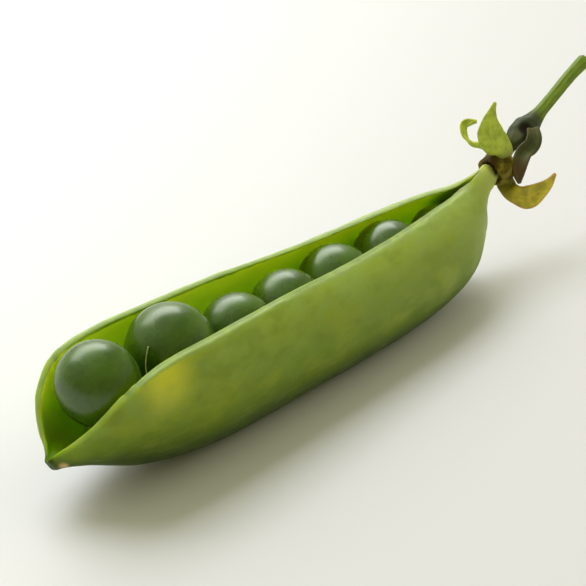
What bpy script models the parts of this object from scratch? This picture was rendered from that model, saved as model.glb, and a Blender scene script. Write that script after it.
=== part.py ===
"""An opened garden pea pod lying on its back seam, with seven peas, its calyx and its stalk.

X runs along the pod from the beak (-X) to the stalk (+X), Z is up and the mouth opens upwards.
The near valve is at -Y and the far valve at +Y. The shapes are drawn round the pod's middle and
then moved together, so that the origin ends up under the centre of the whole at table height.
"""

import math

import bmesh
import bpy
from mathutils import Vector

MM = 0.001

# Pod: one row per cross-section, in millimetres. Each section stands in the plane through its
# rim point and its seam point, and is as wide as the two valves are there.
# (rim x, rim z, seam x, seam z, half of the mouth, half of the width, hollow depth share)
POD_SECTIONS = [
    (-34.6, -0.5, -33.9, -1.7, 0.1, 0.6, 0.0),
    (-34.0, -0.1, -33.5, -1.9, 0.3, 0.9, 0.1),
    (-33.3, 0.9, -32.9, -1.9, 1.2, 2.0, 0.6),
    (-32.5, 2.1, -32.2, -2.0, 2.3, 3.3, 0.9),
    (-31.3, 3.6, -31.0, -2.4, 3.45, 4.5, 1.0),
    (-28.0, 6.4, -28.0, -3.9, 4.65, 5.8, 1.0),
    (-23.2, 7.4, -23.2, -6.0, 4.5, 6.5, 1.0),
    (-15.0, 7.1, -15.0, -7.6, 4.2, 7.1, 1.0),
    (-5.5, 6.7, -5.5, -8.0, 3.6, 7.1, 1.0),
    (5.5, 5.8, 5.5, -8.0, 2.9, 7.1, 1.0),
    (15.0, 5.4, 15.0, -8.0, 2.2, 6.9, 1.0),
    (23.2, 5.3, 23.2, -7.4, 1.3, 6.1, 1.0),
    (27.0, 5.1, 27.2, -6.5, 0.7, 5.1, 1.0),
    (29.6, 5.1, 29.7, -5.4, 0.3, 4.0, 0.7),
    (31.4, 5.3, 31.6, -4.3, 0.15, 2.8, 0.1),
    (32.8, 5.6, 32.7, -2.3, 0.15, 1.85, 0.0),
    (34.0, 5.9, 33.5, 1.0, 0.15, 1.35, 0.0),
    (34.8, 6.1, 35.2, 3.1, 0.15, 1.25, 0.0),
    (35.3, 5.3, 35.8, 3.7, 0.1, 0.8, 0.0),
    (37.2, 5.8, 37.6, 4.3, 0.1, 0.75, 0.0),
]
STEPS_BETWEEN = [1, 1, 1, 1, 3, 3, 4, 5, 5, 5, 4, 2, 2, 1, 2, 2, 2, 1, 1]
RIM_WALL = 0.9
BELLY_WALL = 1.1
OUTER_STEPS = 22
INNER_STEPS = 16
REST_LEVEL = -7.2  # the belly is flattened here, where the pod lies on the table
REST_HALF = 3.0  # half of the width of that flat strip
REST_WALL = 0.8  # wall above the flat strip

# Peas: (x, y, z, radius) in millimetres, from the beak to the stalk.
PEAS = [
    (-27.3, 0.1, 4.9, 4.35),
    (-17.3, -0.1, 4.5, 4.75),
    (-8.3, -0.9, 2.9, 4.1),
    (0.0, -0.3, 2.1, 4.05),
    (8.6, 0.3, 1.2, 4.35),
    (17.6, 0.2, 0.6, 4.4),
    (25.8, 0.0, 0.7, 3.2),
]
PEA_SQUASH = 0.98  # a pea is a little shorter along the pod than across it

# Stalk with the swollen receptacle at its foot: (x, z, radius) along its bent centre line.
STALK_LINE = [
    (38.0, 5.5, 0.5),
    (38.5, 6.2, 0.55),
    (39.1, 6.8, 0.75),
    (39.9, 7.3, 1.35),
    (40.9, 7.7, 1.75),
    (42.0, 8.1, 1.6),
    (43.0, 8.5, 1.15),
    (44.3, 9.1, 0.8),
    (46.6, 10.2, 0.75),
    (49.6, 11.7, 0.75),
    (51.8, 12.6, 0.8),
    (53.0, 13.0, 0.9),
]
STALK_SEGMENTS = 14

# Withered ring round the pod's neck, where the flower was.
RING_CENTRE = Vector((37.0, 0.0, 4.9))
RING_AXIS = Vector((0.96, 0.0, 0.28)).normalized()
RING_LENGTH = 2.0
RING_INNER = 1.15
RING_OUTER = 1.85
RING_SEGMENTS = 24

BLADE_THICKNESS = 0.6
# Sepals: centre line points from base to tip, each with the half width and the width direction.
SEPALS = {
    "sepal_upright": [
        ((36.3, -0.7, 7.4), 1.35, (0.67, -0.74, 0.0)),
        ((35.9, -0.3, 8.1), 1.55, (0.67, -0.74, 0.05)),
        ((35.6, 0.3, 9.1), 1.55, (0.67, -0.74, 0.1)),
        ((35.6, 0.5, 10.0), 1.35, (0.67, -0.74, 0.1)),
        ((35.8, 0.7, 11.0), 0.9, (0.67, -0.74, 0.1)),
        ((36.1, 0.7, 12.0), 0.45, (0.67, -0.74, 0.1)),
        ((36.4, 0.6, 12.9), 0.2, (0.67, -0.74, 0.1)),
    ],
    "sepal_curled": [
        ((37.2, 2.1, 6.6), 0.5, (-0.2, -0.1, 1.0)),
        ((36.9, 2.9, 6.8), 0.45, (-0.2, 0.0, 1.0)),
        ((36.4, 3.8, 6.7), 0.35, (-0.2, 0.2, 1.0)),
        ((36.4, 4.7, 7.2), 0.35, (-0.5, 0.6, 0.6)),
        ((36.6, 5.4, 8.0), 0.4, (-0.6, 0.7, 0.3)),
        ((37.0, 5.5, 8.8), 0.5, (-0.4, 0.7, 0.6)),
        ((37.4, 4.9, 9.1), 0.4, (0.2, 0.3, 0.9)),
        ((37.7, 4.3, 9.2), 0.2, (0.2, 0.3, 0.9)),
    ],
    "sepal_yellow": [
        ((37.1, -1.1, 2.7), 1.1, (0.67, -0.74, 0.0)),
        ((36.9, -1.9, 2.4), 1.05, (0.6, -0.6, 0.4)),
        ((37.1, -2.8, 2.1), 1.05, (0.55, -0.2, 0.75)),
        ((37.8, -3.7, 1.9), 1.35, (0.37, 0.33, 0.87)),
        ((39.0, -4.4, 2.5), 1.0, (0.37, 0.33, 0.87)),
        ((40.2, -4.8, 3.2), 0.55, (0.37, 0.33, 0.87)),
        ((41.2, -4.9, 4.0), 0.2, (0.37, 0.33, 0.87)),
    ],
    "sepal_drooping": [
        ((40.6, -2.5, 8.4), 0.6, (0.67, -0.74, 0.0)),
        ((40.2, -2.5, 7.8), 0.7, (0.67, -0.74, 0.0)),
        ((39.6, -2.3, 7.2), 0.7, (0.67, -0.74, 0.0)),
        ((39.0, -2.1, 6.7), 0.7, (0.67, -0.74, 0.0)),
        ((38.0, -2.4, 6.0), 0.65, (0.67, -0.74, 0.0)),
        ((37.6, -2.7, 5.3), 0.55, (0.67, -0.74, 0.0)),
        ((37.4, -2.9, 4.5), 0.45, (0.67, -0.74, 0.0)),
        ((37.2, -3.0, 3.8), 0.2, (0.67, -0.74, 0.0)),
    ],
    "sepal_back": [
        ((37.5, 2.0, 3.5), 0.8, (0.8, 0.0, 0.6)),
        ((37.7, 2.6, 2.8), 1.0, (0.9, -0.2, 0.4)),
        ((37.8, 3.1, 2.0), 0.85, (0.9, -0.2, 0.3)),
        ((37.7, 3.4, 1.3), 0.45, (0.9, -0.2, 0.2)),
        ((37.5, 3.5, 0.8), 0.2, (0.9, -0.2, 0.2)),
    ],
}

COLOURS = {
    "pod": ((0.19, 0.27, 0.05), 0.5),
    "pea": ((0.10, 0.19, 0.04), 0.35),
    "stalk": ((0.13, 0.20, 0.03), 0.55),
    "ring": ((0.13, 0.08, 0.02), 0.8),
    "sepal_green": ((0.27, 0.33, 0.05), 0.6),
    "sepal_yellow": ((0.42, 0.34, 0.04), 0.65),
    "sepal_dark": ((0.06, 0.08, 0.03), 0.7),
}


def clear_scene():
    for obj in list(bpy.data.objects):
        bpy.data.objects.remove(obj, do_unlink=True)


def material(name):
    found = bpy.data.materials.get(name)
    if found:
        return found
    colour, roughness = COLOURS[name]
    made = bpy.data.materials.new(name)
    made.use_nodes = True
    shader = made.node_tree.nodes["Principled BSDF"]
    shader.inputs["Base Color"].default_value = (*colour, 1.0)
    shader.inputs["Roughness"].default_value = roughness
    shader.inputs["Metallic"].default_value = 0.0
    made.diffuse_color = (*colour, 1.0)
    return made


def add_object(name, bm, material_name, smooth_angle=50.0):
    """The bmesh, drawn in millimetres, as a smooth-shaded object in metres."""
    bmesh.ops.recalc_face_normals(bm, faces=bm.faces)
    bmesh.ops.scale(bm, vec=(MM, MM, MM), verts=bm.verts)
    mesh = bpy.data.meshes.new(name)
    bm.to_mesh(mesh)
    bm.free()
    mesh.shade_smooth()
    mesh.set_sharp_from_angle(angle=math.radians(smooth_angle))
    mesh.materials.append(material(material_name))
    obj = bpy.data.objects.new(name, mesh)
    bpy.context.scene.collection.objects.link(obj)
    return obj


def curve_through(rows, steps):
    """Rows of numbers, with steps[k] - 1 smooth ones put in between row k and the next."""
    count = len(rows)
    at = [0.0]
    for a, b in zip(rows, rows[1:]):
        at.append(at[-1] + max(0.3, math.dist(a[:3], b[:3])))
    slopes = []
    for k in range(count):
        low, high = max(k - 1, 0), min(k + 1, count - 1)
        span = at[high] - at[low]
        slopes.append([(after - before) / span for before, after in zip(rows[low], rows[high])])
    out = [list(rows[0])]
    for k in range(count - 1):
        span = at[k + 1] - at[k]
        for step in range(1, steps[k] + 1):
            t = step / steps[k]
            a = 2 * t**3 - 3 * t**2 + 1
            b = (t**3 - 2 * t**2 + t) * span
            c = 3 * t**2 - 2 * t**3
            d = (t**3 - t**2) * span
            row = []
            for p, m, q, n in zip(rows[k], slopes[k], rows[k + 1], slopes[k + 1]):
                row.append(a * p + b * m + c * q + d * n)
            out.append(row)
    return out


def loft(bm, rings, closed=False):
    """Skin over rings of equal length; the end rings are filled unless the loft is closed."""
    loops = []
    for ring in rings:
        loops.append([bm.verts.new(point) for point in ring])
    pairs = list(zip(loops, loops[1:]))
    if closed:
        pairs.append((loops[-1], loops[0]))
    for first, second in pairs:
        for k in range(len(first)):
            n = (k + 1) % len(first)
            bm.faces.new((first[k], first[n], second[n], second[k]))
    if not closed:
        for loop in (loops[0], loops[-1]):
            cap = bm.faces.new(loop)
            bmesh.ops.triangulate(bm, faces=[cap])


def pod_ring(row):
    """One cross-section: down the near valve, up the far valve, and back along the inside."""
    rim_x, rim_z, seam_x, seam_z, mouth, half, depth = row
    height = math.hypot(rim_x - seam_x, rim_z - seam_z)
    lean_x = (rim_x - seam_x) / height
    lean_z = (rim_z - seam_z) / height
    rim_wall = 0.05 + (RIM_WALL - 0.05) * depth
    outer_mouth = mouth + min(rim_wall, half - mouth)
    half = max(half, outer_mouth + 0.02)
    top = math.acos(outer_mouth / half)
    tall = height / (1 + math.sin(top))

    def place(y, up, lowest):
        point = Vector((seam_x + lean_x * up, y, seam_z + lean_z * up))
        if point.z < lowest:
            point.y = max(-REST_HALF, min(REST_HALF, y))
            point.z = lowest
        return point

    ring = []
    for k in range(OUTER_STEPS + 1):
        turn = (1 - k / (OUTER_STEPS / 2)) * (top + math.pi / 2)
        side = -1 if k < OUTER_STEPS / 2 else 1
        turn = abs(turn) - math.pi / 2
        up = tall + tall * math.sin(turn)
        ring.append(place(side * half * math.cos(turn), up, REST_LEVEL))

    belly = min(BELLY_WALL, half * 0.6)
    in_half = max(half - belly, mouth + 0.01)
    in_tall = max(tall - BELLY_WALL, 0.2)
    in_top = math.acos(mouth / in_half)
    end_up = tall + in_tall * math.sin(in_top)
    for k in range(INNER_STEPS + 1):
        share = 1 - k / (INNER_STEPS / 2)
        side = 1 if share > 0 else -1
        turn = abs(share) * (in_top + math.pi / 2) - math.pi / 2
        up = tall + in_tall * math.sin(turn)
        up += (height - end_up) * abs(share) ** 3
        up = height - (height - up) * depth - 0.12 * (1 - abs(share)) * (1 - depth)
        y = side * in_half * math.cos(turn)
        straight = mouth * share
        ring.append(place(straight + (y - straight) * depth, up, REST_LEVEL + REST_WALL))
    return ring


def build_pod():
    bm = bmesh.new()
    loft(bm, [pod_ring(row) for row in curve_through(POD_SECTIONS, STEPS_BETWEEN)])
    return add_object("pod_shell", bm, "pod", 60.0)


def build_pea(number, x, y, z, radius):
    bm = bmesh.new()
    bmesh.ops.create_uvsphere(bm, u_segments=20, v_segments=12, radius=radius)
    bmesh.ops.scale(bm, vec=(PEA_SQUASH, 1.0, 1.0), verts=bm.verts)
    pea = add_object(f"pea_{number}", bm, "pea")
    pea.location = (x * MM, y * MM, z * MM)
    return pea


def build_stalk():
    """The stalk turns from the neck's slope into its own, thick at the receptacle."""
    rows = curve_through(STALK_LINE, [1, 1, 2, 1, 1, 2, 1, 2, 2, 2, 1])
    rings = []
    for k, (x, z, radius) in enumerate(rows):
        before, after = rows[max(k - 1, 0)], rows[min(k + 1, len(rows) - 1)]
        along = Vector((after[0] - before[0], 0.0, after[1] - before[1])).normalized()
        across = Vector((0.0, 1.0, 0.0))
        up = along.cross(across)
        ring = []
        for s in range(STALK_SEGMENTS):
            turn = 2 * math.pi * s / STALK_SEGMENTS
            out = across * math.cos(turn) + up * math.sin(turn)
            ring.append(Vector((x, 0.0, z)) + out * radius)
        rings.append(ring)
    bm = bmesh.new()
    loft(bm, rings)
    return add_object("stalk", bm, "stalk")


def build_ring():
    """A frayed sleeve: its edge runs in and out round the neck."""
    across = Vector((0.0, 1.0, 0.0))
    up = RING_AXIS.cross(across)
    rings = []
    for s in range(RING_SEGMENTS):
        turn = 2 * math.pi * s / RING_SEGMENTS
        out = across * math.cos(turn) + up * math.sin(turn)
        fray = 0.16 * math.sin(3 * turn) + 0.1 * math.sin(7 * turn + 1.0)
        outer = RING_OUTER + 0.1 * math.sin(5 * turn)
        profile = [
            (-RING_LENGTH / 2 - fray, RING_INNER),
            (-RING_LENGTH / 2 - fray, outer - 0.1),
            (-RING_LENGTH / 6, outer),
            (RING_LENGTH / 3, outer - 0.05),
            (RING_LENGTH / 2, outer - 0.25),
            (RING_LENGTH / 2, RING_INNER),
        ]
        rings.append([RING_CENTRE + RING_AXIS * a + out * r for a, r in profile])
    bm = bmesh.new()
    loft(bm, rings, closed=True)
    return add_object("withered_ring", bm, "ring")


def build_sepal(name, line, material_name):
    """A pointed blade, cupped across its width, along a bent centre line."""
    rows = [(*point, half, *wide) for point, half, wide in line]
    rows = curve_through(rows, [2] * (len(rows) - 1))
    rings = []
    for k, row in enumerate(rows):
        here, half, wide = Vector(row[:3]), row[3], Vector(row[4:7])
        before = Vector(rows[max(k - 1, 0)][:3])
        after = Vector(rows[min(k + 1, len(rows) - 1)][:3])
        along = (after - before).normalized()
        wide = (wide - along * wide.dot(along)).normalized()
        face = along.cross(wide)
        ring = []
        for side in (1, -1):
            for s in (-1.0, -0.5, 0.0, 0.5, 1.0):
                cup = 0.25 * half * (s * s - 0.5)
                thick = side * BLADE_THICKNESS / 2
                ring.append(here + wide * (side * s * half) + face * (cup + thick))
        rings.append(ring)
    bm = bmesh.new()
    loft(bm, rings)
    return add_object(name, bm, material_name)


def stand_on_origin(objects):
    """Moves everything together, so that the origin is under the middle at table height."""
    bpy.context.view_layer.update()
    corners = []
    for obj in objects:
        corners += [obj.matrix_world @ v.co for v in obj.data.vertices]
    low = [min(c[axis] for c in corners) for axis in range(3)]
    high = [max(c[axis] for c in corners) for axis in range(3)]
    shift = Vector((-(low[0] + high[0]) / 2, -(low[1] + high[1]) / 2, -low[2]))
    for obj in objects:
        if obj.name.startswith("pea"):
            obj.location += shift
        else:
            for vertex in obj.data.vertices:
                vertex.co += shift
    return shift


def main():
    clear_scene()
    objects = [build_pod(), build_stalk(), build_ring()]
    for number, pea in enumerate(PEAS, start=1):
        objects.append(build_pea(number, *pea))
    leaf = {"sepal_yellow": "sepal_yellow", "sepal_drooping": "sepal_dark"}
    for name, line in SEPALS.items():
        objects.append(build_sepal(name, line, leaf.get(name, "sepal_green")))
    shift = stand_on_origin(objects)
    print("moved by", [round(v * 1000, 3) for v in shift], "mm")


main()
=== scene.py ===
"""Looks of the opened pea pod: its valves, peas, calyx and stalk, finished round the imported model."""

import math

import bmesh
import bpy
from mathutils import Matrix, Vector, noise


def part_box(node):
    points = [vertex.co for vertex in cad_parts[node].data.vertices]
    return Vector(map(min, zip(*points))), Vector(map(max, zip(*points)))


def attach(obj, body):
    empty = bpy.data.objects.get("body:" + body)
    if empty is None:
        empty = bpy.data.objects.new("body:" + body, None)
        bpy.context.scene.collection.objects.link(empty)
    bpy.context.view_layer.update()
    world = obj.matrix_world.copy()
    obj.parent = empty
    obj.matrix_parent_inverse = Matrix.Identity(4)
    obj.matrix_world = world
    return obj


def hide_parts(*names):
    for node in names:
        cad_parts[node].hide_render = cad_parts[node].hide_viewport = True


MM = 0.001

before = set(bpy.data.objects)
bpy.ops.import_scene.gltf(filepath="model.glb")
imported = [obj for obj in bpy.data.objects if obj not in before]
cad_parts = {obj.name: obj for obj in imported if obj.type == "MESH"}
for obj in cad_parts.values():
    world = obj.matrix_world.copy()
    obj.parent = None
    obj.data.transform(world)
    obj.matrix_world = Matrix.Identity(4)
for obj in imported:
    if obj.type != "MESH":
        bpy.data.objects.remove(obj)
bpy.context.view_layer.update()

# The pod's middle, where its sections were drawn round, in millimetres in the row frame.
POD_MIDDLE = Vector((-9.339, 0.0, 7.2))

# Camera, as the photograph was taken.
CAMERA_AZIMUTH = -48.19
CAMERA_ELEVATION = 30.0
CAMERA_DISTANCE = 0.24157
LENS = 139.94
SENSOR = 36.0
SHIFT = (0.01256, 0.0509)

# Sky: what is added to its dim olive towards each side, and the cosine at which that starts.
SKY = [
    ((-0.1, 0.7, 0.7), 0.3, (0.42, 0.42, 0.42, 1.0)),
    ((0.55, 0.66, 0.52), 0.84, (1.3, 1.3, 1.35, 1.0)),
    ((0.85, -0.45, 0.28), 0.6, (0.2, 0.2, 0.16, 1.0)),
]

# Pod, in millimetres.
RIM_BEVEL = 0.24
RIM_WALL = 0.9
LIP_RAISE = 0.04
LIP_DEPTH = 0.5
SEAM_RAISE = 0.14
BULGE = 0.12
LINING_STEP = 0.05
LINING_STEP_BELOW = 1.25  # how far below the rim that step runs
BEAK_FLARE = (-0.2, 0.3, 0.0)
BEAK_X = -40.0
BEAK_REACH = 3.5
CLOSED_FROM = 19.0  # the valves have grown together from this x on, towards the stalk
NECK_FROM = 21.5
NECK_END = 25.4
NECK_RIDGES = 9
NECK_RIDGE_HEIGHT = 0.06

# Peas, from the beak to the stalk, and the threads of the first two, which are the ones in sight: the
# points that they run through and their radius, in millimetres.
PEA_NODES = [f"pea_{n}" for n in range(1, 8)]
THREAD_ROUTES = {
    "pea_1": [(-35.7, 2.9, 5.7), (-35.7, 3.4, 5.1)],
    "pea_2": [(-30.75, -1.0, 13.95), (-31.3, -1.15, 12.0), (-31.4, -2.0, 10.2), (-31.6, -3.6, 9.0)],
}
THREAD_RADIUS = {"pea_1": 0.26, "pea_2": 0.07}
HIDDEN_THREAD_RADIUS = 0.24
PEA_FLAT = 0.985

# Sepals: centre line points (x, y, z), half width and width direction, from root to tip. Each root
# sinks into the collar or the knob that it grows from.
FACING = (0.67, -0.74, 0.0)
SEPALS = {
    "sepal_upright": [
        ((36.6, -0.9, 6.5), 1.05, FACING),
        ((36.3, -0.7, 7.4), 1.35, FACING),
        ((35.9, -0.3, 8.1), 1.6, (0.67, -0.74, 0.05)),
        ((35.6, 0.3, 9.1), 1.6, (0.67, -0.74, 0.1)),
        ((35.6, 0.5, 10.0), 1.4, (0.67, -0.74, 0.1)),
        ((35.8, 0.7, 11.0), 0.9, (0.67, -0.74, 0.1)),
        ((36.1, 0.7, 12.0), 0.42, (0.67, -0.74, 0.1)),
        ((36.4, 0.6, 13.1), 0.05, (0.67, -0.74, 0.1)),
    ],
    "sepal_curled": [
        ((37.3, 1.3, 6.3), 0.5, (-0.2, -0.1, 1.0)),
        ((37.1, 2.1, 6.6), 0.5, (-0.2, -0.1, 1.0)),
        ((36.9, 2.9, 6.75), 0.42, (-0.2, 0.0, 1.0)),
        ((36.5, 3.75, 6.8), 0.3, (-0.2, 0.2, 1.0)),
        ((36.5, 4.6, 7.3), 0.32, (-0.5, 0.6, 0.6)),
        ((36.7, 5.15, 8.1), 0.4, (-0.6, 0.7, 0.3)),
        ((37.0, 5.25, 8.7), 0.5, (-0.4, 0.7, 0.6)),
        ((37.4, 4.8, 8.95), 0.4, (0.2, 0.3, 0.9)),
        ((37.8, 4.1, 9.1), 0.05, (0.2, 0.3, 0.9)),
    ],
    "sepal_yellow": [
        ((37.1, -0.6, 3.7), 1.0, FACING),
        ((37.1, -1.1, 2.8), 1.1, FACING),
        ((36.9, -1.9, 2.4), 1.05, (0.6, -0.6, 0.4)),
        ((37.1, -2.8, 2.1), 1.1, (0.55, -0.2, 0.75)),
        ((37.8, -3.7, 1.9), 1.4, (0.37, 0.33, 0.87)),
        ((39.0, -4.4, 2.5), 1.0, (0.37, 0.33, 0.87)),
        ((40.2, -4.8, 3.2), 0.55, (0.37, 0.33, 0.87)),
        ((41.3, -4.95, 4.1), 0.05, (0.37, 0.33, 0.87)),
    ],
    "sepal_drooping": [
        ((41.2, -1.4, 8.8), 0.7, FACING),
        ((40.7, -2.0, 8.3), 0.85, FACING),
        ((40.3, -2.3, 7.8), 0.95, FACING),
        ((39.8, -2.3, 7.2), 0.95, FACING),
        ((39.0, -2.0, 6.7), 0.95, FACING),
        ((38.05, -2.2, 6.0), 0.95, FACING),
        ((37.5, -2.45, 5.3), 0.85, FACING),
        ((37.2, -2.7, 4.5), 0.58, FACING),
        ((37.15, -2.9, 3.6), 0.06, FACING),
    ],
    "sepal_back": [
        ((37.4, 1.4, 4.2), 0.7, (0.8, 0.0, 0.6)),
        ((37.5, 2.0, 3.5), 0.8, (0.8, 0.0, 0.6)),
        ((37.7, 2.6, 2.8), 1.0, (0.9, -0.2, 0.4)),
        ((37.8, 3.1, 2.0), 0.85, (0.9, -0.2, 0.3)),
        ((37.7, 3.4, 1.3), 0.45, (0.9, -0.2, 0.2)),
        ((37.5, 3.5, 0.7), 0.06, (0.9, -0.2, 0.2)),
    ],
}
SEPAL_THICKNESS = 0.34
SEPAL_SLOTS = {"sepal_yellow": "sepal_yellow", "sepal_drooping": "sepal_dark"}

# Middles of the spots that differ in colour, in millimetres in the row frame.
# The yellow spot is a painted glow of light shining through the thin wall.
BACKLIT_GLOW_SPOT = (-33.0, -6.0, 13.4)
BEAK_TIP = (-43.8, 0.0, 6.4)
BEAK_DRY_EDGE = (-42.8, -1.2, 6.1)
# The beak lining spot is painted shade deep in the tip's hollow.
BEAK_HOLLOW_SHADE = (-43.0, 0.5, 6.5)
NECK_PALE = (26.5, 0.0, 11.5)
NECK_BROWN = (25.8, -0.4, 12.7)
COLLAR_DARK = (26.3, 0.2, 13.0)
KNOB_FOOT = (30.0, -0.4, 15.4)
# The knob hollow is dented in, and its colour there is painted shade.
KNOB_HOLLOW = (31.2, -0.9, 16.1)


def smooth(low, high, value):
    """0 below low, 1 above high, and a soft step between them."""
    share = max(0.0, min(1.0, (value - low) / (high - low)))
    return share * share * (3 - 2 * share)


def pick(obj):
    """Makes obj the one that operators work on."""
    bpy.ops.object.select_all(action="DESELECT")
    obj.select_set(True)
    bpy.context.view_layer.objects.active = obj


def choose(obj, kind, rule):
    """In edit mode, selects the vertices, edges or faces for which rule is true."""
    bpy.ops.mesh.select_mode(type=kind)
    bpy.ops.mesh.select_all(action="DESELECT")
    bm = bmesh.from_edit_mesh(obj.data)
    for item in {"VERT": bm.verts, "EDGE": bm.edges, "FACE": bm.faces}[kind]:
        if rule(item):
            item.select_set(True)
    bm.select_flush_mode()
    bmesh.update_edit_mesh(obj.data)


def add_modifier(obj, kind, **settings):
    """Adds a modifier and applies it."""
    pick(obj)
    modifier = obj.modifiers.new(kind.title(), kind)
    for name, value in settings.items():
        setattr(modifier, name, value)
    bpy.ops.object.modifier_apply(modifier=modifier.name)


def subdivide(obj, levels):
    """Rounds obj by halving its faces that many times."""
    add_modifier(obj, "SUBSURF", levels=levels, render_levels=levels)


def copy_of_node(node, name):
    """A merged copy of a CAD node's mesh, in quads, that fine shape can be worked into."""
    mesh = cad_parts[node].data.copy()
    mesh.materials.clear()
    obj = bpy.data.objects.new(name, mesh)
    bpy.context.scene.collection.objects.link(obj)
    pick(obj)
    bpy.ops.mesh.customdata_custom_splitnormals_clear()
    bpy.ops.object.mode_set(mode="EDIT")
    bpy.ops.mesh.select_all(action="SELECT")
    bpy.ops.mesh.remove_doubles(threshold=0.000002)
    bpy.ops.mesh.mark_sharp(clear=True)
    bpy.ops.mesh.tris_convert_to_quads(face_threshold=math.pi, shape_threshold=math.pi)
    bpy.ops.object.mode_set(mode="OBJECT")
    return obj


def shade_smooth(obj):
    """Shades obj without facets."""
    pick(obj)
    bpy.ops.object.shade_smooth()


def set_attribute(obj, name, values):
    """One number for each vertex, which materials read by this name."""
    attribute = obj.data.attributes.new(name, "FLOAT", "POINT")
    attribute.data.foreach_set("value", values)


def finish_piece(obj, material, slot, *nodes):
    """Gives a piece its material and body, and hides the nodes that it stands for. Its slot is not used."""
    obj.data.materials.clear()
    obj.data.materials.append(material)
    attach(obj, "root")
    if nodes:
        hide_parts(*nodes)
    return obj


def curve_through(rows, steps):
    """Rows of numbers, with smooth ones put in between, steps of them for each row but the last."""
    out = []
    for k in range(len(rows) - 1):
        before, after = rows[max(k - 1, 0)], rows[min(k + 2, len(rows) - 1)]
        for step in range(steps):
            t = step / steps
            row = []
            for a, b, c, d in zip(before, rows[k], rows[k + 1], after):
                linear = (c - a) * t
                square = (2 * a - 5 * b + 4 * c - d) * t * t
                cube = (3 * b - a - 3 * c + d) * t**3
                row.append(b + 0.5 * (linear + square + cube))
            out.append(row)
    out.append(list(rows[-1]))
    return out


class Outline:
    """What the pod's CAD solid measures at each x, in millimetres: rim, belly, half width, half mouth."""

    pitch = 0.8
    reach = 1.3

    def __init__(self, points):
        self.start = min(p.x for p in points)
        self.end = max(p.x for p in points)
        self.rows = []
        for k in range(self.count()):
            x = self.start + k * self.pitch
            near = [p for p in points if abs(p.x - x) < self.reach]
            top = max(p.z for p in near)
            mouth = min(abs(p.y) for p in near if p.z > top - 0.25)
            self.rows.append((top, min(p.z for p in near), max(abs(p.y) for p in near), mouth))

    def count(self):
        return int((self.end - self.start) / self.pitch) + 2

    def at(self, x):
        """The four measures at x, between those of the rows on either side of it."""
        place = max(0.0, min(len(self.rows) - 1.001, (x - self.start) / self.pitch))
        k = int(place)
        t = place - k
        return [a + (b - a) * t for a, b in zip(self.rows[k], self.rows[k + 1])]


def soft_noise(point, size, seed=0.0):
    """Smooth noise from about -1 to 1 at a point in millimetres, with features of that size."""
    return noise.noise(Vector((point.x + seed * 17.3, point.y - seed * 9.1, point.z + seed * 5.7)) / size)


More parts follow.
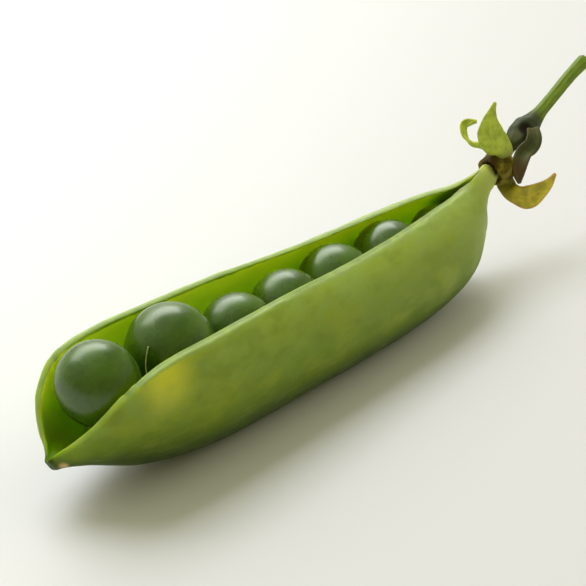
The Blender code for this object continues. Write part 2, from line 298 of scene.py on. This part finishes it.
def build_valves():
    """The shell, with rounded rims, a raised lip and back seam, and soft bulges where the peas press."""
    obj = copy_of_node("pod_shell", "pod_valves")
    outline = Outline([v.co / MM for v in obj.data.vertices])
    bpy.ops.object.mode_set(mode="EDIT")

    def on_rim(edge):
        if not edge.is_manifold or edge.calc_face_angle() < math.radians(50):
            return False
        a, b = (v.co / MM for v in edge.verts)
        run = (b - a).normalized()
        return abs(run.y) < 0.75 and a.z > outline.at(a.x)[0] - 1.2 and a.x < NECK_END

    choose(obj, "EDGE", on_rim)
    bpy.ops.mesh.bevel(offset=RIM_BEVEL * MM, segments=2, profile=0.6, affect="EDGES")
    bpy.ops.object.mode_set(mode="OBJECT")
    subdivide(obj, 2)

    peas = []
    for node in PEA_NODES:
        low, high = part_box(node)
        peas.append(((low + high) / 2 / MM, (high.z - low.z) / 2 / MM))
    mesh = obj.data
    normals = [n.vector.copy() for n in mesh.vertex_normals]
    inside, lip, rim_face, height, moved = [], [], [], [], []
    for vertex, normal in zip(mesh.vertices, normals):
        p = vertex.co / MM
        rim, belly, half, mouth = outline.at(p.x)
        out = Vector((0.0, p.y, p.z - belly - (rim - belly) * 0.45))
        facing = normal.dot(out.normalized()) if out.length > 1e-6 else 1.0
        closing = smooth(CLOSED_FROM - 2.0, CLOSED_FROM + 1.5, p.x)
        within = (1 - smooth(-0.25, 0.3, facing)) * (1 - closing)
        share = (p.z - belly) / max(rim - belly, 0.5)
        below = rim - p.z
        beside = abs(p.y) - mouth
        on_top = (1 - smooth(0.2, 0.5, below)) * (1 - smooth(RIM_WALL, RIM_WALL + 0.4, beside))
        fine = 0.2 if p.y < 0 else 0.36
        edge = math.exp(-(((beside - RIM_WALL) / fine) ** 2)) * (1 - smooth(0.1, LIP_DEPTH, below))
        inside.append(within)
        lip.append(edge)
        rim_face.append(on_top * (1 - closing))
        height.append(share)

        push = LIP_RAISE * edge
        groove = math.exp(-(((below - LINING_STEP_BELOW) / 0.22) ** 2)) * within
        push -= LINING_STEP * groove
        keel = math.exp(-((p.y / 0.5) ** 2)) * (1 - smooth(0.1, 0.3, share)) * smooth(0.25, 0.8, p.z)
        push += SEAM_RAISE * keel * (1 - within)
        for centre, radius in peas:
            away = Vector((p.x - centre.x, 0.0, (p.z - centre.z) * 0.7)).length / radius
            push += BULGE * math.exp(-((away / 0.75) ** 2)) * (1 - within) * (1 - on_top)
        neck = smooth(NECK_FROM - 3.0, NECK_FROM + 2.0, p.x) * (1 - within)
        around = math.atan2(p.y, p.z - belly - 1.0)
        ridges = math.sin(NECK_RIDGES * around + 0.6 * p.x) - 1.2
        push += NECK_RIDGE_HEIGHT * neck * ridges * (1 - edge)
        push += 0.045 * soft_noise(p, 4.0) + 0.02 * soft_noise(p, 1.2, 1.0)
        if p.z < 0.3:
            push *= smooth(0.02, 0.3, p.z)
        place = p + normal * push
        if p.x < NECK_END:
            place.y -= math.copysign(mouth * closing * math.exp(-max(beside, 0.0)), p.y)
        flare = math.exp(-(((p.x - BEAK_X) / BEAK_REACH) ** 2))
        flare = flare * smooth(0.5, 3.0, p.y) * smooth(0.35, 0.75, share)
        place += flare * Vector(BEAK_FLARE)
        moved.append(place)
    for vertex, place in zip(mesh.vertices, moved):
        vertex.co = place * MM
        vertex.co.z = max(vertex.co.z, 0.0)
    set_attribute(obj, "inside", inside)
    set_attribute(obj, "lip", lip)
    set_attribute(obj, "rim_face", rim_face)
    set_attribute(obj, "height", height)
    shade_smooth(obj)
    return finish_piece(obj, pod_skin(), "pod", "pod_shell")


def build_first_pea():
    """One pea of 1 mm radius: a sphere, flattened where its neighbours press, with its scar."""
    bpy.ops.object.select_all(action="DESELECT")
    bpy.ops.mesh.primitive_uv_sphere_add(segments=48, ring_count=28, radius=MM, location=(0, 0, 0))
    obj = bpy.context.active_object
    bpy.ops.object.mode_set(mode="EDIT")
    # The scar is a small oval at the pole that later turns towards its thread.
    choose(obj, "FACE", lambda f: f.calc_center_median().z > 0.968 * MM)
    bpy.ops.mesh.inset(thickness=0.03 * MM, depth=-0.012 * MM)
    bpy.ops.transform.resize(value=(1.25, 0.7, 1.0))
    bpy.ops.mesh.inset(thickness=0.04 * MM, depth=0.02 * MM)
    choose(obj, "VERT", lambda v: abs(v.co.x) > 0.9 * MM)
    bpy.ops.transform.resize(value=(0.99, 1.0, 1.0))
    bpy.ops.object.mode_set(mode="OBJECT")
    subdivide(obj, 1)
    return obj


def build_peas():
    """Seven peas from the first one, each turned and dented a little differently."""
    first = build_first_pea()
    skin = pea_skin()
    for k, node in enumerate(PEA_NODES):
        low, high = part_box(node)
        centre, radius = (low + high) / 2, (high.z - low.z) / 2
        obj = bpy.data.objects.new(node.replace("pea_", "green_pea_"), first.data.copy())
        bpy.context.scene.collection.objects.link(obj)
        scar = Vector((0.35 * (-1) ** k, -0.85, -0.25)).normalized()
        turn = Vector((0.0, 0.0, 1.0)).rotation_difference(scar).to_matrix()
        lift = []
        for vertex in obj.data.vertices:
            unit = turn @ (vertex.co / MM)
            dent = 1 + 0.006 * soft_noise(unit, 0.9, 2.0 + k) + 0.003 * soft_noise(unit, 0.35, 5.0 + k)
            press = 1 - 0.02 * smooth(0.82, 1.0, abs(unit.x))
            place = Vector((unit.x * PEA_FLAT * press, unit.y, unit.z)) * dent
            vertex.co = centre + place * radius
            lift.append(0.5 + 0.5 * unit.dot(scar))
        set_attribute(obj, "scar", lift)
        shade_smooth(obj)
        finish_piece(obj, skin, "pea", node)
    bpy.data.objects.remove(first)


def tube_along(name, rows, sides=12):
    """A closed round tube through rows of (x, y, z, radius), in millimetres, from a turned circle."""
    bpy.ops.object.select_all(action="DESELECT")
    bpy.ops.mesh.primitive_circle_add(vertices=sides, radius=MM, fill_type="NGON", location=(0, 0, 0))
    obj = bpy.context.active_object
    obj.name = name
    bpy.ops.object.mode_set(mode="EDIT")
    for _ in rows[1:]:
        bpy.ops.mesh.extrude_region_move(TRANSFORM_OT_translate={"value": (0, 0, MM)})
    bpy.ops.mesh.select_all(action="SELECT")
    bpy.ops.mesh.normals_make_consistent(inside=False)
    bpy.ops.object.mode_set(mode="OBJECT")
    for vertex in obj.data.vertices:
        k = round(vertex.co.z / MM)
        here = Vector(rows[k][:3])
        before, after = rows[max(k - 1, 0)], rows[min(k + 1, len(rows) - 1)]
        along = (Vector(after[:3]) - Vector(before[:3])).normalized()
        turn = Vector((0.0, 0.0, 1.0)).rotation_difference(along).to_matrix()
        flat = Vector((vertex.co.x, vertex.co.y, 0.0)) / MM
        vertex.co = (here + turn @ flat * rows[k][3]) * MM
    return obj


def thread_route(node, centre, radius):
    """The points of a thread, from its pea to the wall. Those not in sight run under the near rim."""
    if node in THREAD_ROUTES:
        route = [Vector(point) for point in THREAD_ROUTES[node]]
        start = centre + (route[0] - centre).normalized() * radius * 0.98
        return [start] + route
    lean = 0.35 * (-1) ** PEA_NODES.index(node)
    foot = centre + Vector((lean, -0.85, -0.25)).normalized() * radius * 0.98
    root = foot + Vector((lean, -1.0, 0.9))
    root.y = -min(abs(root.y), 5.2, 1.05 * radius)
    return [foot, (foot + root) / 2 + Vector((0.35, 0.0, 0.1)), root]


def build_threads():
    """The short pale threads that hold the peas to the pod."""
    pale = thread_skin()
    for node in PEA_NODES:
        low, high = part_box(node)
        route = thread_route(node, (low + high) / 2 / MM, (high.z - low.z) / 2 / MM)
        thick = THREAD_RADIUS.get(node, HIDDEN_THREAD_RADIUS)
        line = [(*point, thick) for point in route]
        line[-1] = (*route[-1], thick * 1.6)
        obj = tube_along(node.replace("pea_", "thread_"), curve_through(line, 5))
        subdivide(obj, 1)
        shade_smooth(obj)
        finish_piece(obj, pale, "pod")


def build_blade(name, line):
    """A thin pointed sepal: a grid drawn to its centre line, folded at the midrib, wavy at its edges."""
    across, along = 12, 30
    bpy.ops.object.select_all(action="DESELECT")
    bpy.ops.mesh.primitive_grid_add(
        x_subdivisions=across, y_subdivisions=along, size=2, location=(0, 0, 0)
    )
    obj = bpy.context.active_object
    obj.name = name
    rows = curve_through([(*point, half, *wide) for point, half, wide in line], 12)
    side, length = [], []
    for vertex in obj.data.vertices:
        s, t = vertex.co.x, (vertex.co.y + 1) / 2
        place = t * (len(rows) - 1)
        k = min(int(place), len(rows) - 2)
        row = [a + (b - a) * (place - k) for a, b in zip(rows[k], rows[k + 1])]
        here, half, wide = Vector(row[:3]), max(row[3], 0.03), Vector(row[4:7])
        before, after = rows[max(k - 1, 0)], rows[min(k + 2, len(rows) - 1)]
        run = (Vector(after[:3]) - Vector(before[:3])).normalized()
        wide = (wide - run * wide.dot(run)).normalized()
        face = run.cross(wide)
        cup = 0.25 * half * (s * s - 0.5) + 0.1 * half * abs(s) ** 0.7
        wave = 0.06 * abs(s) ** 3 * math.sin(11 * t + 2.0 * s)
        vein = 0.035 * math.cos(9 * math.pi * s) * (1 - t)
        point = here + wide * (s * half) + face * (cup + wave + vein)
        vertex.co = (POD_MIDDLE + point) * MM
        side.append(s)
        length.append(t)
    set_attribute(obj, "side", side)
    set_attribute(obj, "length", length)
    add_modifier(obj, "SOLIDIFY", thickness=SEPAL_THICKNESS * MM, offset=0.0)
    subdivide(obj, 1)
    shade_smooth(obj)
    return obj


def build_sepals():
    """The five sepals, each in the finish of its slot."""
    finishes = {
        "sepal_green": sepal_skin("green"),
        "sepal_yellow": sepal_skin("yellow"),
        "sepal_dark": sepal_skin("dark"),
    }
    for node, line in SEPALS.items():
        slot = SEPAL_SLOTS.get(node, "sepal_green")
        obj = build_blade(node.replace("sepal_", "leafy_sepal_"), line)
        finish_piece(obj, finishes[slot], slot, node)


def build_stalk():
    """The stalk, with fine ridges along it, a wrinkled knob and a cut end."""
    obj = copy_of_node("stalk", "ridged_stalk")
    low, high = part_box("stalk")
    bpy.ops.object.mode_set(mode="EDIT")
    choose(obj, "FACE", lambda f: f.calc_center_median().x > high.x - 0.0009 and f.normal.x > 0.6)
    bpy.ops.mesh.inset(thickness=0.12 * MM, depth=0.0)
    bpy.ops.mesh.inset(thickness=0.15 * MM, depth=-0.12 * MM)
    bpy.ops.object.mode_set(mode="OBJECT")
    subdivide(obj, 2)
    normals = [n.vector.copy() for n in obj.data.vertex_normals]
    for vertex, normal in zip(obj.data.vertices, normals):
        p = vertex.co / MM
        around = math.atan2(normal.y, normal.z - 0.4 * normal.x)
        knob = math.exp(-(((p.x - (high.x / MM - 12.2)) / 1.8) ** 2))
        push = 0.035 * math.cos(7 * around) * (1 - knob)
        push += knob * (0.12 * soft_noise(p, 0.9, 3.0) + 0.06 * math.cos(5 * around + p.x))
        push += 0.02 * soft_noise(p, 0.5, 4.0)
        push -= 0.3 * math.exp(-(((p - Vector(KNOB_HOLLOW)).length / 0.7) ** 2))
        vertex.co = (p + normal * push) * MM
    shade_smooth(obj)
    return finish_piece(obj, stalk_skin(), "stalk", "stalk")


def build_collar():
    """The withered ring round the neck, crumpled and torn along its edge."""
    obj = copy_of_node("withered_ring", "withered_collar")
    subdivide(obj, 2)
    normals = [n.vector.copy() for n in obj.data.vertex_normals]
    for vertex, normal in zip(obj.data.vertices, normals):
        p = vertex.co / MM
        push = 0.2 + 0.18 * soft_noise(p, 0.8, 6.0) + 0.08 * soft_noise(p, 0.3, 7.0)
        place = p + normal * push
        place.x -= 0.5 * smooth(0.0, 1.0, -normal.x)
        vertex.co = place * MM
    shade_smooth(obj)
    return finish_piece(obj, collar_skin(), "ring", "withered_ring")


class Nodes:
    """A material's node tree, built step by step in the order in which its colour is worked out."""

    def __init__(self, name):
        self.material = bpy.data.materials.new(name)
        self.material.use_nodes = True
        self.tree = self.material.node_tree
        self.shader = self.tree.nodes["Principled BSDF"]
        self.place = self.add("ShaderNodeTexCoord").outputs["Object"]

    def add(self, kind, **settings):
        """A new node of that kind, with its settings."""
        node = self.tree.nodes.new(kind)
        for name, value in settings.items():
            setattr(node, name, value)
        return node

    def feed(self, socket, value):
        """Links a socket to another one, or sets it to a plain value."""
        if isinstance(value, bpy.types.NodeSocket):
            self.tree.links.new(value, socket)
        elif isinstance(value, tuple) and len(value) == 3 and socket.type == "RGBA":
            socket.default_value = (*value, 1.0)
        else:
            socket.default_value = value

    def read(self, name):
        """An attribute of the mesh."""
        return self.add("ShaderNodeAttribute", attribute_name=name).outputs["Fac"]

    def moved(self, scale, location=(0.0, 0.0, 0.0)):
        """Object coordinates in millimetres, stretched by scale."""
        node = self.add("ShaderNodeMapping")
        self.feed(node.inputs["Vector"], self.place)
        node.inputs["Scale"].default_value = [s / MM for s in scale]
        node.inputs["Location"].default_value = location
        return node.outputs["Vector"]

    def noise(self, size, detail=3.0, stretch=(1.0, 1.0, 1.0), shift=0.0):
        """Soft noise with features of that size in millimetres."""
        node = self.add("ShaderNodeTexNoise")
        self.feed(node.inputs["Vector"], self.moved([s / size for s in stretch], (shift, shift, shift)))
        node.inputs["Scale"].default_value = 1.0
        node.inputs["Detail"].default_value = detail
        return node.outputs["Fac"]

    def net(self, size, stretch=(1.0, 1.0, 1.0)):
        """Distance to the nearest line of a net with meshes of that size."""
        node = self.add("ShaderNodeTexVoronoi", feature="DISTANCE_TO_EDGE")
        self.feed(node.inputs["Vector"], self.moved([s / size for s in stretch]))
        node.inputs["Scale"].default_value = 1.0
        return node.outputs["Distance"]

    def step(self, value, low, high, to_low=0.0, to_high=1.0):
        """A soft step from to_low to to_high while value goes from low to high."""
        node = self.add("ShaderNodeMapRange", interpolation_type="SMOOTHSTEP")
        self.feed(node.inputs["Value"], value)
        ends = {"From Min": low, "From Max": high, "To Min": to_low, "To Max": to_high}
        for name, number in ends.items():
            node.inputs[name].default_value = number
        return node.outputs["Result"]

    def calc(self, operation, a, b=0.0):
        """One sum of two numbers."""
        node = self.add("ShaderNodeMath", operation=operation)
        self.feed(node.inputs[0], a)
        self.feed(node.inputs[1], b)
        return node.outputs["Value"]

    def mix(self, share, a, b, blend="MIX"):
        """Colour a, with that share of colour b."""
        node = self.add("ShaderNodeMix", data_type="RGBA", blend_type=blend)
        self.feed(node.inputs["Factor"], share)
        self.feed(node.inputs["A"], a)
        self.feed(node.inputs["B"], b)
        return next(s for s in node.outputs if s.type == "RGBA")

    def axis(self, name):
        """Object coordinate X, Y or Z in millimetres."""
        node = self.add("ShaderNodeSeparateXYZ")
        self.feed(node.inputs["Vector"], self.moved((1.0, 1.0, 1.0)))
        return node.outputs[name]

    def near(self, point, low, high):
        """1 within low of a point in millimetres, falling to 0 at high."""
        node = self.add("ShaderNodeVectorMath", operation="DISTANCE")
        self.feed(node.inputs[0], self.moved((1.0, 1.0, 1.0)))
        node.inputs[1].default_value = point
        return self.step(node.outputs["Value"], low, high, 1.0, 0.0)

    def bump(self, height, distance, strength=1.0, under=None):
        """Relief of that distance in millimetres, over the relief under it."""
        node = self.add("ShaderNodeBump")
        node.inputs["Strength"].default_value = strength
        node.inputs["Distance"].default_value = distance * MM
        self.feed(node.inputs["Height"], height)
        if under is not None:
            self.feed(node.inputs["Normal"], under)
        return node.outputs["Normal"]

    def finish(self, colour, roughness, normal=None, **fixed):
        """Links what varies over the surface, and sets what is even on the shader itself."""
        self.feed(self.shader.inputs["Base Color"], colour)
        self.feed(self.shader.inputs["Roughness"], roughness)
        if normal is not None:
            self.feed(self.shader.inputs["Normal"], normal)
        for name, value in fixed.items():
            self.shader.inputs[name.replace("_", " ")].default_value = value
        return self.material


def pod_skin():
    """Waxy mottled skin outside, darker below with painted shade; bright glossy lining inside, partly
    painted light through the wall; an olive rim with a pale outer edge.
    """
    n = Nodes("pod_skin")
    inside, lip, height = n.read("inside"), n.read("lip"), n.read("height")
    patches = n.noise(3.6, 4.0, (0.6, 1.0, 1.0))
    blotches = n.noise(1.8, 2.0, (0.6, 1.0, 1.0), 3.0)
    streaks = n.noise(1.0, 4.0, (0.25, 1.0, 1.6), 8.0)
    veins = n.step(n.net(1.7, (0.7, 1.1, 1.1)), 0.0, 0.1, 1.0, 0.0)

    # Darker towards the belly and lighter towards the rim: painted shade underneath and painted light on
    # top, over the skin's own green.
    skin = n.mix(n.step(height, 0.12, 0.58), (0.025, 0.052, 0.001), (0.185, 0.280, 0.010))
    skin = n.mix(n.step(height, 0.5, 0.95), skin, (0.31, 0.42, 0.075))
    yellowed = n.calc("MULTIPLY", n.step(patches, 0.42, 0.68, 0.0, 0.6), n.step(height, 0.25, 0.6))
    skin = n.mix(yellowed, skin, (0.31, 0.37, 0.012))
    skin = n.mix(n.step(blotches, 0.42, 0.7, 0.0, 0.3), skin, (0.11, 0.19, 0.006))
    skin = n.mix(n.step(streaks, 0.5, 0.75, 0.0, 0.18), skin, (0.33, 0.42, 0.07))
    # Greyer towards the stalk end and the top: waxy bloom, partly painted sheen.
    bloom = n.calc("MULTIPLY", n.step(n.axis("X"), -22.0, 22.0, 0.0, 0.45), n.step(height, 0.25, 0.7))
    skin = n.mix(bloom, skin, (0.27, 0.34, 0.09))
    # Painted light: a yellow glow on the near valve by the beak, where light shines through the thin wall
    # between the peas.
    painted_backlight_glow = n.calc("MULTIPLY", n.near(BACKLIT_GLOW_SPOT, 0.5, 5.0), n.step(patches, 0.2, 0.5, 0.5, 0.95))
    skin = n.mix(painted_backlight_glow, skin, (0.62, 0.62, 0.04))
    skin = n.mix(n.calc("MULTIPLY", veins, 0.04), skin, (0.30, 0.38, 0.12))
    skin = n.mix(n.near(NECK_PALE, 1.0, 6.0), skin, (0.50, 0.56, 0.15))
    skin = n.mix(n.near(NECK_BROWN, 0.6, 1.3), skin, (0.10, 0.07, 0.01))
    skin = n.mix(n.near(BEAK_TIP, 0.5, 1.1), skin, (0.05, 0.08, 0.004))
    skin = n.mix(n.near(BEAK_DRY_EDGE, 0.15, 0.75), skin, (0.55, 0.42, 0.16))

    # Bright towards the rim and darker deep down: painted light shining through the thin wall and painted
    # shade in the depth of the pod, over the lining's own yellow-green.
    lining = n.mix(n.step(height, 0.2, 0.85), (0.36, 0.55, 0.010), (0.77, 0.92, 0.08))
    lining = n.mix(n.step(patches, 0.4, 0.7, 0.0, 0.3), lining, (0.62, 0.82, 0.05))
    # Painted shade: the lining darkens deep in the hollow of the tip.
    lining = n.mix(n.near(BEAK_HOLLOW_SHADE, 0.8, 7.0), lining, (0.13, 0.26, 0.002))
    rim = n.mix(n.step(blotches, 0.4, 0.7), (0.16, 0.25, 0.03), (0.25, 0.36, 0.06))

    colour = n.mix(inside, skin, lining)
    colour = n.mix(n.read("rim_face"), colour, rim)
    colour = n.mix(n.calc("MULTIPLY", lip, 0.55), colour, (0.52, 0.62, 0.30))
    rough = n.step(blotches, 0.3, 0.7, 0.42, 0.54)
    normal = n.bump(n.step(n.noise(0.4, 2.0), 0.3, 0.7), 0.008, 0.3)
    normal = n.bump(veins, 0.012, 0.3, normal)
    normal = n.bump(streaks, 0.03, 0.4, normal)
    return n.finish(
        colour,
        rough,
        normal,
        Subsurface_Weight=0.95,
        Subsurface_Radius=(0.9, 1.0, 0.06),
        Subsurface_Scale=1.8 * MM,
        IOR=1.42,
        Specular_IOR_Level=0.3,
    )


def pea_skin():
    """Smooth dark green skin with a faint bloom, paler at the scar."""
    n = Nodes("pea_skin")
    scar = n.read("scar")
    cloud = n.noise(2.6, 3.0)
    fine = n.noise(0.5, 3.0, shift=5.0)
    colour = n.mix(n.step(cloud, 0.3, 0.7), (0.038, 0.092, 0.003), (0.064, 0.140, 0.006))
    colour = n.mix(n.step(fine, 0.45, 0.75, 0.0, 0.25), colour, (0.085, 0.165, 0.014))
    colour = n.mix(n.step(scar, 0.975, 0.99), colour, (0.30, 0.36, 0.14))
    rough = n.step(cloud, 0.3, 0.7, 0.24, 0.31)
    normal = n.bump(fine, 0.006, 0.2)
    return n.finish(
        colour,
        rough,
        normal,
        Subsurface_Weight=0.3,
        Subsurface_Radius=(0.8, 1.2, 0.2),
        Subsurface_Scale=1.2 * MM,
        IOR=1.55,
    )


def thread_skin():
    """Pale fibre with a grain along it."""
    n = Nodes("thread_skin")
    grain = n.noise(0.3, 3.0, (1.0, 1.0, 0.3))
    colour = n.mix(n.step(grain, 0.3, 0.7), (0.42, 0.52, 0.22), (0.55, 0.62, 0.33))
    return n.finish(colour, 0.5, n.bump(grain, 0.02, 0.5), Subsurface_Weight=0.3, Subsurface_Scale=0.5 * MM)


def sepal_skin(kind):
    """Thin leaf with a paler midrib and veins, browned at the edge and the tip."""
    n = Nodes(f"sepal_skin_{kind}")
    base, light, edge = {
        "green": ((0.38, 0.48, 0.04), (0.62, 0.70, 0.10), (0.42, 0.44, 0.05)),
        "yellow": ((0.44, 0.38, 0.03), (0.72, 0.62, 0.07), (0.50, 0.27, 0.05)),
        "dark": ((0.040, 0.055, 0.010), (0.085, 0.10, 0.02), (0.10, 0.06, 0.02)),
    }[kind]
    side, length = n.calc("ABSOLUTE", n.read("side")), n.read("length")
    cloud = n.noise(1.0, 4.0)
    colour = n.mix(n.step(cloud, 0.3, 0.7), base, light)
    colour = n.mix(n.step(side, 0.0, 0.14, 0.6, 0.0), colour, light)
    colour = n.mix(n.step(side, 0.75, 1.0, 0.0, 0.5), colour, edge)
    colour = n.mix(n.step(length, 0.85, 1.0, 0.0, 0.7), colour, edge)
    colour = n.mix(n.step(length, 0.0, 0.2, 0.6, 0.0), colour, (0.10, 0.07, 0.02))
    if kind == "yellow":
        colour = n.mix(n.step(length, 0.15, 0.45, 0.8, 0.0), colour, (0.20, 0.20, 0.012))
    if kind == "dark":
        colour = n.mix(n.step(length, 0.5, 0.75, 0.0, 0.85), colour, (0.10, 0.055, 0.014))
    fibres = n.noise(0.22, 2.0, (1.0, 1.0, 0.15))
    return n.finish(
        colour,
        n.step(cloud, 0.3, 0.7, 0.45, 0.65),
        n.bump(fibres, 0.03, 0.5),
        Subsurface_Weight=0.35,
        Subsurface_Radius=(1.0, 1.0, 0.2),
        Subsurface_Scale=0.6 * MM,
    )


def stalk_skin():
    """Green stalk with fine lines along it, dark at the knob with painted shade in its hollow, browned at
    the cut end.
    """
    n = Nodes("stalk_skin")
    lines = n.noise(0.35, 3.0, (0.2, 1.0, 0.35))
    x = n.axis("X")
    colour = n.mix(n.step(lines, 0.3, 0.7), (0.12, 0.19, 0.014), (0.19, 0.27, 0.024))
    dark = n.mix(n.noise(0.8, 4.0), (0.012, 0.022, 0.008), (0.06, 0.075, 0.025))
    colour = n.mix(n.step(x, 33.2, 35.5, 1.0, 0.0), colour, dark)
    colour = n.mix(n.step(x, 42.9, 43.9, 0.0, 0.7), colour, (0.20, 0.15, 0.06))
    colour = n.mix(n.near(KNOB_FOOT, 0.4, 1.1), colour, (0.11, 0.12, 0.06))
    # Painted shade: near black in the knob's hollow.
    colour = n.mix(n.near(KNOB_HOLLOW, 0.5, 1.1), colour, (0.010, 0.007, 0.002))
    return n.finish(
        colour,
        0.6,
        n.bump(lines, 0.04, 0.6),
        Subsurface_Weight=0.15,
        Subsurface_Scale=0.6 * MM,
        Specular_IOR_Level=0.3,
    )


def collar_skin():
    """Dry brown remains of the flower, from nearly black to straw."""
    n = Nodes("collar_skin")
    cloud = n.noise(0.9, 5.0)
    colour = n.mix(n.step(cloud, 0.35, 0.6), (0.09, 0.065, 0.004), (0.24, 0.20, 0.012))
    colour = n.mix(n.step(cloud, 0.6, 0.75), colour, (0.42, 0.32, 0.10))
    colour = n.mix(n.near(COLLAR_DARK, 0.8, 2.0), colour, (0.05, 0.028, 0.001))
    return n.finish(colour, 0.75, n.bump(n.noise(0.25, 4.0), 0.08, 0.8), Specular_IOR_Level=0.2)


def floor_finish():
    """White table top, darker towards its near side: painted shade where the light falls off."""
    n = Nodes("table_white")
    # Painted shade: the white darkens towards the near side.
    side = n.calc("SUBTRACT", n.calc("MULTIPLY", n.axis("X"), 0.5), n.calc("MULTIPLY", n.axis("Y"), 0.85))
    colour = n.mix(n.step(side, -60.0, 20.0), (0.84, 0.84, 0.85), (0.68, 0.675, 0.69))
    return n.finish(colour, 0.6, Specular_IOR_Level=0.2)


def build_floor():
    """The table top, just under the pod."""
    bpy.ops.object.select_all(action="DESELECT")
    bpy.ops.mesh.primitive_plane_add(size=4.0, location=(0, 0, -0.00003))
    floor = bpy.context.active_object
    floor.name = "table"
    floor.data.materials.append(floor_finish())


def aim(obj, place, target):
    """Puts obj at place, looking at target."""
    obj.location = place
    obj.rotation_mode = "QUATERNION"
    obj.rotation_quaternion = (Vector(target) - Vector(place)).to_track_quat("-Z", "Y")


def add_lamp(name, size, energy, colour, place):
    """A rectangular soft light aimed at the pod."""
    data = bpy.data.lights.new(name, "AREA")
    data.shape = "RECTANGLE"
    data.size, data.size_y = size
    data.energy = energy
    data.color = colour
    lamp = bpy.data.objects.new(name, data)
    bpy.context.scene.collection.objects.link(lamp)
    aim(lamp, place, POD_MIDDLE * MM)
    return lamp


def build_lights():
    """A broad window high behind the pod, a card that only shows as gloss, a weak fill, and a soft sky."""
    window = add_lamp("window", (0.38, 0.22), 1.3, (0.95, 0.97, 1.08), (0.0, 0.20, 0.40))
    window.visible_glossy = False
    card = add_lamp("card", (0.50, 0.22), 1.5, (0.95, 1.0, 0.92), (0.10, 0.30, 0.29))
    card.visible_diffuse = False
    fill = add_lamp("fill", (0.2, 0.2), 0.3, (1.0, 1.0, 0.86), (0.30, -0.12, 0.16))
    fill.visible_glossy = False

    world = bpy.data.worlds.new("studio")
    bpy.context.scene.world = world
    world.use_nodes = True
    tree = world.node_tree
    back = tree.nodes["Background"]
    place = tree.nodes.new("ShaderNodeTexCoord")
    total = (0.32, 0.31, 0.15, 1.0)
    for towards, start, shade in SKY:
        dot = tree.nodes.new("ShaderNodeVectorMath")
        dot.operation = "DOT_PRODUCT"
        dot.inputs[1].default_value = Vector(towards).normalized()
        span = tree.nodes.new("ShaderNodeMapRange")
        span.interpolation_type = "SMOOTHSTEP"
        span.inputs["From Min"].default_value = start
        blend = tree.nodes.new("ShaderNodeMix")
        blend.data_type = "RGBA"
        blend.blend_type = "ADD"
        tree.links.new(place.outputs["Generated"], dot.inputs[0])
        tree.links.new(dot.outputs["Value"], span.inputs["Value"])
        tree.links.new(span.outputs["Result"], blend.inputs["Factor"])
        if isinstance(total, tuple):
            blend.inputs["A"].default_value = total
        else:
            tree.links.new(total, blend.inputs["A"])
        blend.inputs["B"].default_value = shade
        total = next(s for s in blend.outputs if s.type == "RGBA")
    tree.links.new(total, back.inputs["Color"])
    back.inputs["Strength"].default_value = 1.0


def build_camera():
    """The camera, on the pod's middle and shifted to frame the whole."""
    data = bpy.data.cameras.new("camera")
    data.lens = LENS
    data.sensor_width = SENSOR
    data.shift_x, data.shift_y = SHIFT
    data.clip_start, data.clip_end = 0.01, 10.0
    camera = bpy.data.objects.new("camera", data)
    bpy.context.scene.collection.objects.link(camera)
    azimuth, elevation = math.radians(CAMERA_AZIMUTH), math.radians(CAMERA_ELEVATION)
    flat = math.cos(elevation)
    back = Vector((math.sin(azimuth) * flat, -math.cos(azimuth) * flat, math.sin(elevation)))
    aim(camera, POD_MIDDLE * MM + back * CAMERA_DISTANCE, POD_MIDDLE * MM)
    bpy.context.scene.camera = camera


def main():
    """Builds the stage, then the pieces."""
    bpy.context.scene.view_settings.view_transform = "Standard"
    build_camera()
    build_lights()
    build_floor()
    build_valves()
    build_peas()
    build_threads()
    build_stalk()
    build_collar()
    build_sepals()


main()
